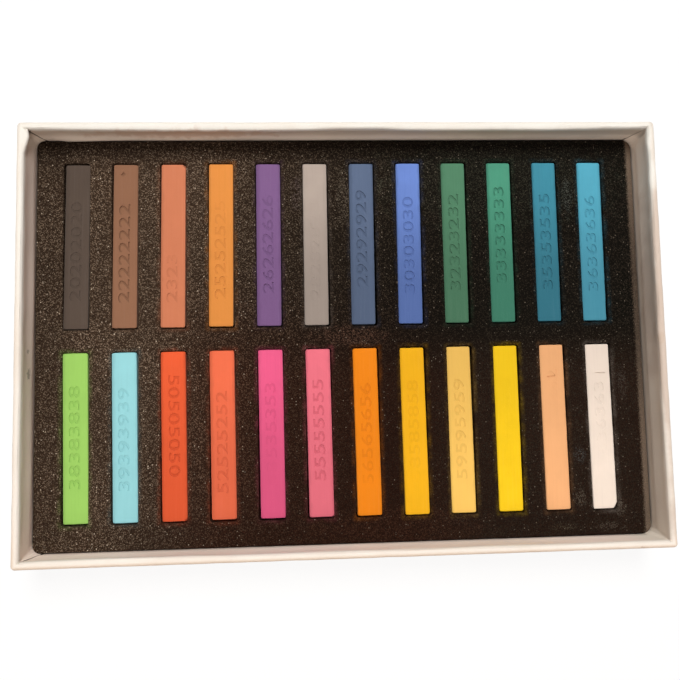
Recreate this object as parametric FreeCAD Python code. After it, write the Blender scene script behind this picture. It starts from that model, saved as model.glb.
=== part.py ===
"""Open card tray of square soft pastels, held in a die-cut foam insert. Millimetres.

The origin is the centre of the tray's underside. +X runs along the tray's long side,
+Y points to its rear and +Z points up. The inside is worked out first, from one stick
outwards, and the tray is then wrapped round it, so the box always fits what it holds.
"""
import FreeCAD, Part
import math
import os

os.makedirs("parts", exist_ok=True)

# Sticks of pastel
stick_length = 65.0
stick_side = 9.6
stick_chamfer = 0.3

# Die-cut foam insert
columns = 12
rows = 2
slot_gap = 0.6          # air round a stick in its slot
slot_round = 1.0        # corner radius of the cutting die
column_web = 7.85       # foam left between two slots side by side
row_web = 8.2           # foam left between the two rows
left_margin = 9.95
right_margin = 10.2
front_margin = 9.6
rear_margin = 8.8
foam_proud = 0.8        # the insert's face stands this far above the sticks
foam_underlay = 2.5     # plain layer that the sticks lie on
foam_corner = 4.0
foam_gap = 0.3          # air between foam and tray wall
bevel_run = 3.5         # slanted cut along the insert's right-hand side
bevel_drop = 1.8

# Card tray
board = 2.0             # greyboard panels
wrap_paper = 0.15       # paper that covers the boards
sheet_paper = 0.15      # base sheet and floor liner
stay_tape = 0.1         # gummed paper tape round each corner
stay_leg = 20.0
stay_end_gap = 1.0      # bare board above and below a stay
rim_rise = 11.65        # inner wall above the insert's face
turn_under = 15.0       # flap of the wrap under the base board
mitre_slit = 0.3        # where two turned-in edges of the wrap meet
base_sheet_inset = 2.0
liner_gap = 0.3
rim_round_share = 0.4       # of the board: crushed edge along the rim
corner_round_share = 0.7    # of the board: upright outer corners

# Travel of what lifts out, past the rim
lift_over = 2.0

# Overrun of every cutting tool beyond the face that it leaves
overrun = 1.0

# Slot grid and foam outline, worked out from one stick
slot_width = stick_side + 2 * slot_gap
slot_length = stick_length + 2 * slot_gap
column_pitch = slot_width + column_web
row_pitch = slot_length + row_web
grid_length = columns * slot_width + (columns - 1) * column_web
grid_width = rows * slot_length + (rows - 1) * row_web
foam_length = left_margin + grid_length + right_margin + bevel_run
foam_width = front_margin + grid_width + rear_margin

# Tray outline, worked out from the foam
cavity_length = foam_length + 2 * foam_gap
cavity_width = foam_width + 2 * foam_gap
wall = board + stay_tape + 2 * wrap_paper
tray_length = cavity_length + 2 * wall
tray_width = cavity_width + 2 * wall

# Heights, from the table upwards
flap_z = sheet_paper
board_z = flap_z + wrap_paper
floor_z = board_z + board
underlay_z = floor_z + sheet_paper
stick_z = underlay_z + foam_underlay
foam_top_z = stick_z + stick_side + foam_proud
tray_height = foam_top_z + rim_rise
board_top_z = tray_height - wrap_paper

rim_round = rim_round_share * board
corner_round = corner_round_share * board

# The first slot's centre, at the rear left
first_x = -foam_length / 2 + left_margin + slot_width / 2
first_y = foam_width / 2 - rear_margin - slot_length / 2

# How each stick lies in its slot: its name, then the shares of the slot's gap that it is
# pushed to the right, to the rear, and turned to the left at its rear end.
rear_row_shares = (
    ("charcoal", 0.15, -0.25, -0.55),
    ("brown", -0.05, -0.05, -0.5),
    ("terracotta", -0.2, -0.05, -0.5),
    ("orange", -0.15, 0.1, -0.45),
    ("purple", -0.05, 0.0, -0.25),
    ("warm_grey", -0.15, -0.05, -0.2),
    ("slate_blue", -0.3, -0.05, -0.35),
    ("cobalt", 0.1, 0.0, -0.35),
    ("sage_green", -0.25, 0.05, -0.2),
    ("emerald", -0.05, 0.05, -0.1),
    ("deep_teal", 0.1, 0.05, -0.1),
    ("sky_blue", 0.1, -0.05, -0.25),
)
front_row_shares = (
    ("lime_green", 0.1, 0.3, 0.65),
    ("aqua", -0.1, 0.05, 0.6),
    ("vermilion", -0.05, 0.05, 0.5),
    ("coral", 0.15, 0.3, 0.45),
    ("magenta_pink", 0.35, 0.15, 0.3),
    ("rose_pink", 0.3, 0.0, 0.45),
    ("bright_orange", 0.15, 0.0, 0.55),
    ("golden_yellow", 0.05, -0.35, 0.55),
    ("ochre", -0.4, -0.15, 0.35),
    ("lemon_yellow", -0.1, -0.1, 0.2),
    ("peach", 0.2, -0.05, 0.35),
    ("white", 0.3, -0.25, 0.4),
)


def block(x_low, x_high, y_low, y_high, z_low, z_high):
    corner = FreeCAD.Vector(x_low, y_low, z_low)
    return Part.makeBox(x_high - x_low, y_high - y_low, z_high - z_low, corner)


def slab(length, width, z_low, z_high, radius=0.0):
    """Upright prism centred on the tray, its four standing edges rounded."""
    solid = block(-length / 2, length / 2, -width / 2, width / 2, z_low, z_high)
    if radius <= 0:
        return solid
    standing = [e for e in solid.Edges if abs(e.tangentAt(e.FirstParameter).z) > 0.5]
    return solid.makeFillet(radius, standing)


def save(shape, node):
    """Write one piece, which is a single closed solid."""
    solids = shape.Solids
    if len(solids) != 1 or not solids[0].isValid():
        raise ValueError(f"{node} has {len(solids)} solids or is not valid")
    solids[0].exportStep(f"parts/{node}.step")


# Boards and wrap


def tray_body(inset, z_low, pocket_inset, z_high):
    """The tray as one block with its pocket, drawn in from the outside by inset.

    The pocket's walls stand pocket_inset behind the finished inner walls, and the top
    edge is rounded on both sides, so nested bodies leave an even skin between them.
    """
    skin = tray_height - z_high
    radius = rim_round + wrap_paper - skin
    outside = slab(
        tray_length - 2 * inset, tray_width - 2 * inset, z_low, z_high, corner_round - inset
    )
    pocket = slab(
        cavity_length + 2 * pocket_inset,
        cavity_width + 2 * pocket_inset,
        floor_z,
        z_high + overrun,
    )
    body = outside.cut(pocket)
    rim = [
        e
        for e in body.Edges
        if abs(e.CenterOfMass.z - z_high) < rim_round / 2 and e.BoundBox.ZLength < rim_round / 2
    ]
    return body.makeFillet(radius, rim)


def diagonal_slit(x_side, y_side, inner_x, inner_y, outer_x, outer_y, z_low, z_high):
    """Thin cut from an inner corner to an outer one, in the quarter given by the sides."""
    start = FreeCAD.Vector(x_side * inner_x, y_side * inner_y, z_low)
    end = FreeCAD.Vector(x_side * outer_x, y_side * outer_y, z_low)
    along = end.sub(start)
    half = mitre_slit / 2
    length = along.Length
    blade = block(0, length, -half, half, 0, z_high - z_low)
    blade.rotate(
        FreeCAD.Vector(0, 0, 0),
        FreeCAD.Vector(0, 0, 1),
        math.degrees(math.atan2(along.y, along.x)),
    )
    blade.translate(start)
    return blade


def outer_wrap():
    """One paper skin: under the base, up the outside, over the rim and down the inside."""
    outside = tray_body(0, flap_z, 0, tray_height)
    core = tray_body(wrap_paper, board_z, wrap_paper, board_top_z)
    window = slab(
        tray_length - 2 * turn_under,
        tray_width - 2 * turn_under,
        flap_z - overrun,
        board_z + overrun,
    )
    skin = outside.cut(core).cut(window)
    slits = []
    for x_side in (-1, 1):
        for y_side in (-1, 1):
            slits.append(
                diagonal_slit(
                    x_side,
                    y_side,
                    cavity_length / 2 - wall / 2,
                    cavity_width / 2 - wall / 2,
                    tray_length / 2 - wall / 2,
                    tray_width / 2 - wall / 2,
                    floor_z - overrun,
                    tray_height + overrun,
                )
            )
            slits.append(
                diagonal_slit(
                    x_side,
                    y_side,
                    tray_length / 2 - turn_under - wall,
                    tray_width / 2 - turn_under - wall,
                    tray_length / 2 - wall / 2,
                    tray_width / 2 - wall / 2,
                    flap_z - overrun,
                    board_z + wrap_paper / 2,
                )
            )
    return skin.cut(slits[0].fuse(slits[1:]))


def panels():
    """Five greyboard panels: the walls stand round the base board, long ones at full length."""
    inset = wrap_paper + stay_tape
    walls = tray_body(inset, board_z, wrap_paper, board_top_z)
    inner_x = cavity_length / 2 + wrap_paper
    inner_y = cavity_width / 2 + wrap_paper
    outer_x = tray_length / 2 + overrun
    outer_y = tray_width / 2 + overrun
    low = board_z - overrun
    high = tray_height + overrun
    return {
        "base_board": slab(2 * inner_x, 2 * inner_y, board_z, floor_z),
        "front_wall_board": walls.common(block(-outer_x, outer_x, -outer_y, -inner_y, low, high)),
        "rear_wall_board": walls.common(block(-outer_x, outer_x, inner_y, outer_y, low, high)),
        "left_wall_board": walls.common(block(-outer_x, -inner_x, -inner_y, inner_y, low, high)),
        "right_wall_board": walls.common(block(inner_x, outer_x, -inner_y, inner_y, low, high)),
    }


def corner_stay(x_side, y_side):
    """Strip of tape bent round one upright corner, between the boards and the wrap."""
    low = board_z + stay_end_gap
    high = board_top_z - rim_round - stay_end_gap
    outside = slab(
        tray_length - 2 * wrap_paper,
        tray_width - 2 * wrap_paper,
        low,
        high,
        corner_round - wrap_paper,
    )
    inset = wrap_paper + stay_tape
    boards = slab(
        tray_length - 2 * inset,
        tray_width - 2 * inset,
        low - overrun,
        high + overrun,
        corner_round - inset,
    )
    x_near = x_side * (tray_length / 2 - stay_leg)
    y_near = y_side * (tray_width / 2 - stay_leg)
    x_far = x_side * (tray_length / 2 + overrun)
    y_far = y_side * (tray_width / 2 + overrun)
    corner = block(
        min(x_near, x_far), max(x_near, x_far), min(y_near, y_far), max(y_near, y_far), low, high
    )
    return outside.cut(boards).common(corner)


save(outer_wrap(), "outer_wrap")
for name, panel in panels().items():
    save(panel, name)
for y_name, y_side in (("front", -1), ("rear", 1)):
    for x_name, x_side in (("left", -1), ("right", 1)):
        save(corner_stay(x_side, y_side), f"corner_stay_{y_name}_{x_name}")

base_sheet = slab(
    tray_length - 2 * base_sheet_inset, tray_width - 2 * base_sheet_inset, 0, sheet_paper
)
save(base_sheet, "base_sheet")

floor_liner = slab(
    cavity_length - 2 * liner_gap, cavity_width - 2 * liner_gap, floor_z, floor_z + sheet_paper
)
save(floor_liner, "floor_liner")


# Foam


def slot_tool(x, y):
    """Knife outline of one slot, with the die's rounded corners."""
    tool = slab(
        slot_width, slot_length, stick_z - overrun, foam_top_z + overrun, slot_round
    )
    tool.translate(FreeCAD.Vector(x, y, 0))
    return tool


def foam_insert():
    """Thick layer with a slot right through it for each stick and one slanted side."""
    sheet = slab(foam_length, foam_width, stick_z, foam_top_z, foam_corner)
    tools = [
        slot_tool(first_x + column * column_pitch, first_y - row * row_pitch)
        for row in range(rows)
        for column in range(columns)
    ]
    side_x = foam_length / 2
    side_y = foam_width / 2 + overrun
    slope = bevel_drop / bevel_run
    outline = [
        FreeCAD.Vector(side_x - bevel_run, -side_y, foam_top_z),
        FreeCAD.Vector(side_x, -side_y, foam_top_z - bevel_drop),
        FreeCAD.Vector(side_x + overrun, -side_y, foam_top_z - bevel_drop - overrun * slope),
        FreeCAD.Vector(side_x + overrun, -side_y, foam_top_z + overrun),
        FreeCAD.Vector(side_x - bevel_run, -side_y, foam_top_z + overrun),
    ]
    face = Part.Face(Part.makePolygon(outline + outline[:1]))
    wedge = face.extrude(FreeCAD.Vector(0, 2 * side_y, 0))
    return sheet.cut(tools[0].fuse(tools[1:])).cut(wedge)


save(slab(foam_length, foam_width, underlay_z, stick_z, foam_corner), "foam_underlay")
save(foam_insert(), "foam_insert")


# Sticks


def pastel(x, y, right_share, rear_share, turn_share):
    """Square bar with broken edges, lying a little askew in its slot."""
    half_length = stick_length / 2
    half_side = stick_side / 2
    bar = block(-half_side, half_side, -half_length, half_length, stick_z, stick_z + stick_side)
    bar = bar.makeChamfer(stick_chamfer, bar.Edges)
    turn = math.degrees(math.asin(turn_share * slot_gap / half_length))
    bar.rotate(FreeCAD.Vector(0, 0, 0), FreeCAD.Vector(0, 0, 1), turn)
    bar.translate(FreeCAD.Vector(x + right_share * slot_gap, y + rear_share * slot_gap, 0))
    return bar


for row, shares in enumerate((rear_row_shares, front_row_shares)):
    for column, (colour, right_share, rear_share, turn_share) in enumerate(shares):
        x = first_x + column * column_pitch
        y = first_y - row * row_pitch
        save(pastel(x, y, right_share, rear_share, turn_share), f"pastel_{colour}")

print("tray", round(tray_length, 2), round(tray_width, 2), round(tray_height, 2))
print("foam", round(foam_length, 2), round(foam_width, 2), "top at", round(foam_top_z, 2))
print("insert lifts", round(tray_height - underlay_z + lift_over, 2))
print("sticks lift", round(tray_height - stick_z + lift_over, 2))
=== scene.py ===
"""Open card tray of soft pastels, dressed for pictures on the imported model.

Pieces are shaped in millimetres and brought to metres when they are finished.
"""
import math

import bmesh
import bpy
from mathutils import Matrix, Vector


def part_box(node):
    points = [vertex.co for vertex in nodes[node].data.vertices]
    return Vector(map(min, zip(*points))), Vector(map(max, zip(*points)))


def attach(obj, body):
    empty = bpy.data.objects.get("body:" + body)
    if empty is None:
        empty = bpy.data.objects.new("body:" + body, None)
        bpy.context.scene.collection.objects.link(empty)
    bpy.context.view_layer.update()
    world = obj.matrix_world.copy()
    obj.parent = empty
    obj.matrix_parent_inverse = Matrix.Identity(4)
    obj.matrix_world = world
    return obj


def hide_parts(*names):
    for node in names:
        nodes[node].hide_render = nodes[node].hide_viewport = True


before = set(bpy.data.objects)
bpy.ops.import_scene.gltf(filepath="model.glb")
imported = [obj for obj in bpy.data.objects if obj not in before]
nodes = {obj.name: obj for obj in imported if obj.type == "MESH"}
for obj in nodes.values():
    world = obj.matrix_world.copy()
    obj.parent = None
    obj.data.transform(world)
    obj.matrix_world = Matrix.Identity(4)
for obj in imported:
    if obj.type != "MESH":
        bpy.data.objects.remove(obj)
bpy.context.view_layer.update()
MM = 0.001


# Camera, table and lamps
#
# The photographer looks almost straight down from 27 cm above the table. The light is soft
# and comes from beyond the tray's rear, so the rear wall throws a short shadow on the foam.

bpy.ops.object.camera_add(
    location=(-15.47 * MM, -19.64 * MM, 270.2 * MM),
    rotation=(math.radians(4.24), math.radians(-2.84), math.radians(-1.24)),
)
camera = bpy.context.object
camera.data.sensor_width = 36
camera.data.lens = 34.5
camera.data.clip_start = 0.01
bpy.context.scene.camera = camera


def add(tree, kind, inputs=None, **settings):
    """Add a node: each input is a value or the socket that feeds it."""
    node = tree.nodes.new(kind)
    for name, value in settings.items():
        setattr(node, name, value)
    for name, value in (inputs or {}).items():
        if isinstance(value, bpy.types.NodeSocket):
            tree.links.new(value, node.inputs[name])
        else:
            node.inputs[name].default_value = value
    return node


def maths(tree, operation, first, second=0.0, third=0.0, clamp=False):
    inputs = {0: first, 1: second, 2: third}
    return add(tree, "ShaderNodeMath", inputs, operation=operation, use_clamp=clamp).outputs[0]


def times(tree, product, *factors):
    for factor in factors:
        product = maths(tree, "MULTIPLY", product, factor)
    return product


def plus(tree, total, *terms):
    for term in terms:
        total = maths(tree, "ADD", total, term)
    return total


def split(tree, vector):
    """The x, y and z of a place or direction."""
    return add(tree, "ShaderNodeSeparateXYZ", {0: vector}).outputs


def noise(tree, place, scale, **shape):
    """Uneven cloud from 0 to 1, shaped by detail, roughness and distortion."""
    inputs = {name.capitalize(): value for name, value in shape.items()}
    inputs.update({"Vector": place, "Scale": scale})
    return add(tree, "ShaderNodeTexNoise", inputs).outputs["Fac"]


def blend(tree, share, first, second, kind="MIX"):
    inputs = {0: share, 6: first, 7: second}
    return add(tree, "ShaderNodeMix", inputs, data_type="RGBA", blend_type=kind).outputs[2]


def mix_shaders(tree, share, first, second):
    inputs = {0: share, 1: first.outputs[0], 2: second.outputs[0]}
    return add(tree, "ShaderNodeMixShader", inputs)


def tone(red, green, blue):
    """A colour given as it looks on a screen, from 0 to 255."""
    linear = [
        v / 12.92 if v <= 0.04045 else ((v + 0.055) / 1.055) ** 2.4
        for v in (red / 255, green / 255, blue / 255)
    ]
    return (*linear, 1.0)


def new_material(name, roughness, gloss):
    """A plain material: its tree and shader, and where each point lies on the piece."""
    material = bpy.data.materials.new(name)
    material.use_nodes = True
    tree = material.node_tree
    shader = tree.nodes["Principled BSDF"]
    shader.inputs["Roughness"].default_value = roughness
    shader.inputs["Specular IOR Level"].default_value = gloss
    place = add(tree, "ShaderNodeTexCoord").outputs["Object"]
    return material, tree, shader, place


def coat(piece, material):
    piece.data.materials.clear()
    piece.data.materials.append(material)


bpy.ops.mesh.primitive_plane_add(size=4, location=(0, 0, 0))
table = bpy.context.object
table.name = "table"
table_white, tree, shader, place = new_material("table_white", roughness=0.9, gloss=0.1)
mottle = noise(tree, place, 6.0)
tree.links.new(
    blend(tree, mottle, tone(250, 249, 247), tone(255, 255, 255)), shader.inputs["Base Color"]
)


def seen_directly(tree):
    """1 for what the camera sees, straight or by a mirror or through glass."""
    path = add(tree, "ShaderNodeLightPath").outputs
    seen = path["Is Camera Ray"]
    for way in ("Is Glossy Ray", "Is Transmission Ray"):
        seen = maths(tree, "ADD", seen, path[way], clamp=True)
    return seen


# The table is blown out to white in the picture, and keeps a light shadow.
washed_out = 0.88
glow = add(tree, "ShaderNodeEmission", {"Color": (1, 1, 1, 1), "Strength": 1.0})
surface = mix_shaders(tree, times(tree, seen_directly(tree), washed_out), shader, glow)
# From below it can't be seen, and it doesn't shade what lies on it, so that the underside
# shows.
touching = 0.001
backfacing = add(tree, "ShaderNodeNewGeometry").outputs["Backfacing"]
ray_length = add(tree, "ShaderNodeLightPath").outputs["Ray Length"]
from_below = maths(
    tree, "MAXIMUM", backfacing, maths(tree, "LESS_THAN", ray_length, touching)
)
surface = mix_shaders(tree, from_below, surface, add(tree, "ShaderNodeBsdfTransparent"))
tree.links.new(surface.outputs[0], tree.nodes["Material Output"].inputs["Surface"])
coat(table, table_white)

world = bpy.data.worlds.new("soft_room")
bpy.context.scene.world = world
world.use_nodes = True
tree = world.node_tree
room = tree.nodes["Background"]
room.inputs["Color"].default_value = (1.0, 0.86, 0.78, 1)
# The room is brighter overhead than at eye level. Light from below the table reaches only
# the underside.
eye_level, overhead, from_floor = 0.048, 0.18, 0.6
upward = split(tree, add(tree, "ShaderNodeTexCoord").outputs["Generated"])["Z"]
downward = times(tree, upward, -1.0)
strength = plus(
    tree,
    times(tree, maths(tree, "MAXIMUM", upward, 0.0), overhead),
    times(tree, maths(tree, "MAXIMUM", downward, 0.0), from_floor),
    eye_level,
)
tree.links.new(strength, room.inputs["Strength"])
backdrop = add(tree, "ShaderNodeBackground", {"Color": (1, 1, 1, 1), "Strength": 1.0})
surface = mix_shaders(tree, seen_directly(tree), room, backdrop)
tree.links.new(surface.outputs[0], tree.nodes["World Output"].inputs["Surface"])

for name, place, width, depth, energy, colour in (
    ("window", (0.06, 0.65, 1.25), 0.4, 0.6, 18.25, (0.99, 0.99, 0.96)),
    ("room_front", (0.0, -0.9, 0.9), 0.6, 0.5, 3.7, (1.0, 0.86, 0.77)),
    ("room_left", (-0.75, -0.10, 0.55), 0.4, 0.4, 1.25, (1.0, 0.89, 0.82)),
    ("room_right", (0.75, -0.10, 0.55), 0.4, 0.4, 0.45, (1.0, 0.84, 0.74)),
):
    bpy.ops.object.light_add(type="AREA", location=place)
    lamp = bpy.context.object
    lamp.name = name
    lamp.data.shape = "RECTANGLE"
    lamp.data.size = width
    lamp.data.size_y = depth
    lamp.data.energy = energy
    lamp.data.color = colour
    lamp.rotation_euler = (-lamp.location).to_track_quat("-Z", "Y").to_euler()

bpy.context.scene.view_settings.view_transform = "Standard"


# Greyboard panels
#
# Five panels of 2 mm greyboard make the tray: a base, and four walls glued round its edges.
# The raw pulp board is grey-brown with dark and pale specks. The wrap hides nearly all of it.

def ramp(tree, factor, low, high, smooth=True):
    """0 below low, 1 above high."""
    inputs = {"Value": factor, "From Min": low, "From Max": high}
    kind = "SMOOTHSTEP" if smooth else "LINEAR"
    return add(tree, "ShaderNodeMapRange", inputs, interpolation_type=kind).outputs[0]


def new_group(name, given, made):
    """A node group that is given vectors and numbers and makes numbers, with its two ends."""
    tree = bpy.data.node_groups.new(name, "ShaderNodeTree")
    for socket, kind in given.items():
        tree.interface.new_socket(socket, in_out="INPUT", socket_type=f"NodeSocket{kind}")
    for socket in made:
        tree.interface.new_socket(socket, in_out="OUTPUT", socket_type="NodeSocketFloat")
    return tree, add(tree, "NodeGroupInput").outputs, add(tree, "NodeGroupOutput").inputs


def paper_fibres():
    """Cloudy tone and fine felted height that every paper and board here shares."""
    tree, given, made = new_group("paper_fibres", {"Vector": "Vector"}, ("Tone", "Height"))
    place = given["Vector"]
    cloud = noise(tree, place, 60.0, detail=3.0)
    felt = noise(tree, place, 1400.0, detail=4.0, roughness=0.65, distortion=1.2)
    strands = noise(tree, place, 420.0, detail=2.0, distortion=3.5)
    tree.links.new(plus(tree, times(tree, cloud, 0.6), times(tree, felt, 0.4)), made["Tone"])
    tree.links.new(plus(tree, felt, times(tree, strands, 0.7)), made["Height"])
    return tree


fibres = paper_fibres()


def emboss(tree, shader, height, strength, depth):
    """Fine relief, its depth in mm."""
    inputs = {"Height": height, "Strength": strength, "Distance": depth * MM}
    bump = add(tree, "ShaderNodeBump", inputs)
    tree.links.new(bump.outputs["Normal"], shader.inputs["Normal"])


def paper(name, pale, shaded, roughness, relief):
    """Uncoated paper or board, and with its parts the colour made so far."""
    material, tree, shader, place = new_material(name, roughness, gloss=0.25)
    grain = add(tree, "ShaderNodeGroup", {"Vector": place}, node_tree=fibres).outputs
    colour = blend(tree, ramp(tree, grain["Tone"], 0.3, 0.7), shaded, pale)
    tree.links.new(colour, shader.inputs["Base Color"])
    rough = maths(tree, "MULTIPLY_ADD", grain["Tone"], 0.12, roughness - 0.06)
    tree.links.new(rough, shader.inputs["Roughness"])
    emboss(tree, shader, grain["Height"], relief, 0.05)
    return material, tree, shader, place, colour


greyboard, tree, shader, place, colour = paper(
    "greyboard", tone(128, 118, 106), tone(98, 90, 80), roughness=0.9, relief=0.8
)
specks = noise(tree, place, 1900.0, detail=1.0)
colour = blend(tree, ramp(tree, specks, 0.68, 0.74), colour, tone(50, 44, 38))
colour = blend(tree, ramp(tree, specks, 0.3, 0.25), colour, tone(190, 182, 170))
tree.links.new(colour, shader.inputs["Base Color"])
for panel in ("base", "front_wall", "rear_wall", "left_wall", "right_wall"):
    coat(nodes[f"{panel}_board"], greyboard)


# Corner stays
#
# Each upright corner is held by a strip of gummed kraft tape bent round the boards. It lies
# under the wrap, so only its brown edge could ever show.

kraft_tape = paper(
    "kraft_tape", tone(196, 160, 116), tone(170, 134, 94), roughness=0.7, relief=0.6
)[0]
for corner in ("front_left", "front_right", "rear_left", "rear_right"):
    coat(nodes[f"corner_stay_{corner}"], kraft_tape)


# Base sheet and floor liner
#
# Two flat sheets of white paper. One is glued over the wrap's flaps under the tray, and
# picks up a little grey from tables. The other lines the floor under the foam.

base_paper, tree, shader, place, colour = paper(
    "base_paper", tone(246, 240, 232), tone(236, 229, 220), roughness=0.82, relief=0.5
)
scuffs = noise(tree, place, 34.0, detail=7.0, roughness=0.72, distortion=0.8)
colour = blend(tree, ramp(tree, scuffs, 0.56, 0.72), colour, tone(214, 206, 196))
tree.links.new(colour, shader.inputs["Base Color"])
liner_paper = paper(
    "liner_paper", tone(242, 236, 228), tone(232, 225, 215), roughness=0.85, relief=0.5
)[0]
coat(nodes["base_sheet"], base_paper)
coat(nodes["floor_liner"], liner_paper)


# Outer wrap
#
# One sheet of soft white paper is drawn round the boards: turned under the base, up the
# outside, over the crushed rim and down inside. It waves a little where the glue let go,
# and at each inner corner a tab of the side flap is folded across as a small gusset.

def in_mm(box):
    return [[v / MM for v in corner] for corner in box]


def pick(piece, kind, test):
    """In edit mode, select the verts, edges or faces that pass the test."""
    bpy.ops.mesh.select_all(action="DESELECT")
    bpy.ops.mesh.select_mode(type=kind[:-1].upper())
    shape = bmesh.from_edit_mesh(piece.data)
    for part in getattr(shape, kind):
        part.select_set(bool(test(part)))
    shape.select_flush_mode()
    bmesh.update_edit_mesh(piece.data)


def switch_to(name):
    bpy.ops.object.mode_set(mode=name)


def height_of(edge):
    return abs(edge.verts[0].co.z - edge.verts[1].co.z)


def extrude_up(height):
    bpy.ops.mesh.extrude_region_move(TRANSFORM_OT_translate={"value": (0, 0, height)})


def round_edges(radius, segments):
    bpy.ops.mesh.bevel(offset=radius, segments=segments, affect="EDGES")


def cut_all(piece, point, normal, **options):
    """Cut right through the piece along a plane."""
    bpy.ops.mesh.select_all(action="SELECT")
    bpy.ops.mesh.bisect(plane_co=point, plane_no=normal, threshold=1e-5, **options)


def only(piece):
    bpy.ops.object.select_all(action="DESELECT")
    piece.select_set(True)
    bpy.context.view_layer.objects.active = piece


def block(name, low, high):
    """A box from corner to corner, in edit mode."""
    bpy.ops.object.select_all(action="DESELECT")
    bpy.ops.mesh.primitive_cube_add(size=1, location=[(a + b) / 2 for a, b in zip(low, high)])
    piece = bpy.context.object
    piece.name = name
    piece.scale = [b - a for a, b in zip(low, high)]
    bpy.ops.object.transform_apply(location=True, scale=True)
    switch_to("EDIT")
    return piece


def join(pieces):
    """Join the pieces into the first."""
    only(pieces[0])
    for piece in pieces:
        piece.select_set(True)
    bpy.ops.object.join()
    return pieces[0]


def apply_modifier(piece, kind, **settings):
    only(piece)
    modifier = piece.modifiers.new(kind.lower(), kind)
    for name, value in settings.items():
        setattr(modifier, name, value)
    bpy.ops.object.modifier_apply(modifier=modifier.name)


def to_metres(piece):
    """The finished piece in metres, with its place in its mesh."""
    only(piece)
    bpy.ops.transform.resize(value=(MM, MM, MM), center_override=(0, 0, 0))
    bpy.ops.object.transform_apply(location=True, rotation=True, scale=True)


wrap_low, wrap_high = in_mm(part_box("outer_wrap"))
floor_high = in_mm(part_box("base_board"))[1]
insert_low, insert_high = in_mm(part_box("foam_insert"))
paper_thick = 0.15
half_length, half_width, rim_z = wrap_high
inner_x = floor_high[0] - paper_thick
inner_y = floor_high[1] - paper_thick
wall = half_length - inner_x
floor_z = floor_high[2]
foam_z = insert_high[2]
flap_reach = 15
corner_round = 1.4
rim_round = 0.95
foot_round = 0.4

wrap = block("tray_wrap", (-half_length, -half_width, wrap_low[2]), wrap_high)

# The cavity is drawn down from the top, and the flap is left round the underside.
pick(wrap, "faces", lambda f: f.normal.z > 0.5)
bpy.ops.mesh.inset(thickness=wall, use_even_offset=True)
extrude_up(floor_z - rim_z)
bpy.ops.mesh.delete(type="FACE")
pick(wrap, "faces", lambda f: f.normal.z < -0.5)
bpy.ops.mesh.inset(thickness=flap_reach, use_even_offset=True)
bpy.ops.mesh.delete(type="FACE")


def on_side(edge):
    """Whether an upright face meets the edge."""
    return any(abs(f.normal.z) < 0.5 for f in edge.link_faces)


# Upright outer corners, the crushed rim and the turned lower edge are rounded.
pick(wrap, "edges", lambda e: height_of(e) > 1 and abs(e.verts[0].co.x) > inner_x + 1)
round_edges(corner_round, segments=6)
pick(wrap, "edges", lambda e: all(v.co.z > rim_z - 0.01 for v in e.verts) and on_side(e))
round_edges(rim_round, segments=5)
pick(wrap, "edges", lambda e: all(v.co.z < wrap_low[2] + 0.01 for v in e.verts) and on_side(e))
round_edges(foot_round, segments=2)

# Rows of cuts let the paper wave.
cut_step = 3.0
for side, half in ((0, half_length), (1, half_width)):
    count = int(2 * half / cut_step)
    for step in range(1, count):
        at = [0, 0, 0]
        normal = [0, 0, 0]
        at[side] = -half + step * 2 * half / count
        normal[side] = 1
        cut_all(wrap, at, normal)
for y in (70.5, 73.5, 75.4, 76.6, 77.6, 78.6):
    cut_all(wrap, (0, y, 0), (0, 1, 0))
for height in (6, 10, 13.5, foam_z, 16.2, 17.2, 18.2, 19.4, 20.8, 22, 23.2, 24.2, 25.2):
    cut_all(wrap, (0, 0, height), (0, 0, 1))
switch_to("OBJECT")


def eased(places, at):
    """The value at a place, led smoothly through the (place, value) pairs."""
    for (low, first), (high, second) in zip(places, places[1:]):
        if low <= at <= high:
            share = (at - low) / (high - low)
            return first + (second - first) * share * share * (3 - 2 * share)
    return 0.0


# The front and rear flaps stop short of each corner, along the edge of a folded tab.
tab_reach = 3.6
slit = 0.45
slit_end = 0.2
slit_foot = inner_x - tab_reach - slit / 2
slit_head = inner_x - slit
head_z = rim_z - rim_round


def slit_x(height):
    """How far from the middle of the tray a slit runs at a height."""
    return slit_foot + (slit_head - slit_foot) * (height - foam_z) / (head_z - foam_z)


def slit_half(height):
    """Half the width of a slit, which narrows to the rim."""
    share = (height - foam_z) / (head_z - foam_z)
    return (slit + (slit_end - slit) * share) / 2


def in_slit(face, foot, across):
    """Whether a face of the front or rear inner wall lies in the slit up from foot."""
    at = face.calc_center_median()
    return (
        abs((at - foot).dot(across)) < slit_half(at.z)
        and abs(at.x) < inner_x + 0.2
        and abs(at.y) < inner_y + 0.6
        and abs(face.normal.y) > 0.6
        and foam_z - 1 < at.z < rim_z - 0.25
    )


only(wrap)
switch_to("EDIT")
for x_side in (-1, 1):
    foot = Vector((x_side * slit_foot, 0, foam_z))
    head = Vector((x_side * slit_head, 0, head_z))
    across = Vector((head.z - foot.z, 0, foot.x - head.x)).normalized()
    for edge in (-0.5, 0.5):
        low_end = foot + across * edge * slit
        line = head + across * edge * slit_end - low_end
        cut_all(wrap, low_end, Vector((line.z, 0, -line.x)).normalized())
    pick(wrap, "faces", lambda f: in_slit(f, foot, across))
    bpy.ops.mesh.delete(type="FACE")
switch_to("OBJECT")

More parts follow.
